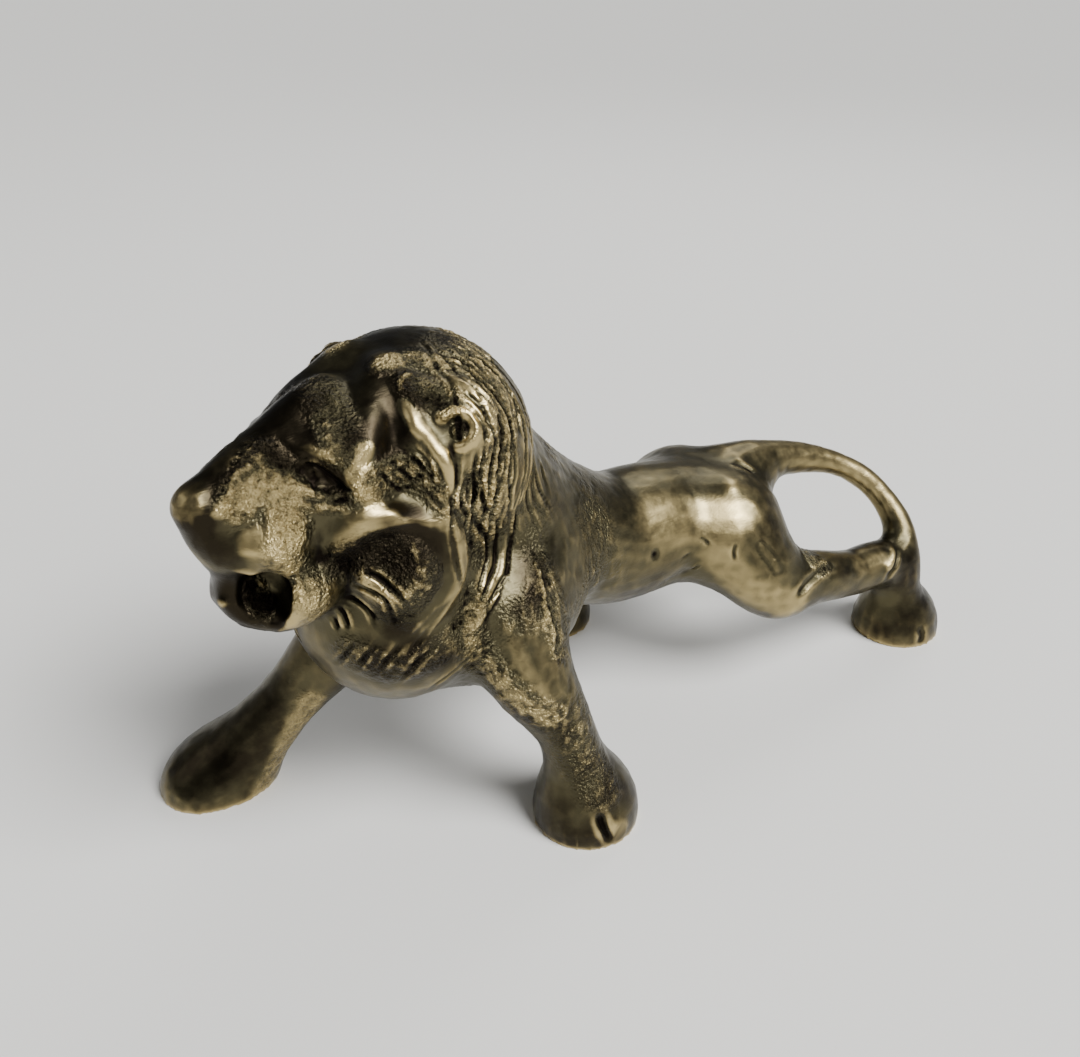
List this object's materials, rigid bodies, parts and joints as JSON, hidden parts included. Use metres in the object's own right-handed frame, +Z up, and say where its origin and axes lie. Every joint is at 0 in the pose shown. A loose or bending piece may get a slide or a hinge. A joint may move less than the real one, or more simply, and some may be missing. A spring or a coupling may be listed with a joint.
{
  "type": "lion statue",
  "caption": "Cast brass prowling lion with a big maned head, open mouth and a tail arching down to the hind leg, standing on flat paw soles.",
  "frame": {"origin": "on the ground, under the middle of the lion's box", "axes": "+Z up; the lion faces -Y, so +Y runs from nose to tail; +X is the lion's left side"},
  "size_m": [0.1004, 0.2262, 0.121],
  "materials": {
    "brass": "aged brass, worn bright on high spots, dark brown patina in hollows"
  },
  "bodies": {
    "root": {"lion": "brass"}
  },
  "joints": []
}
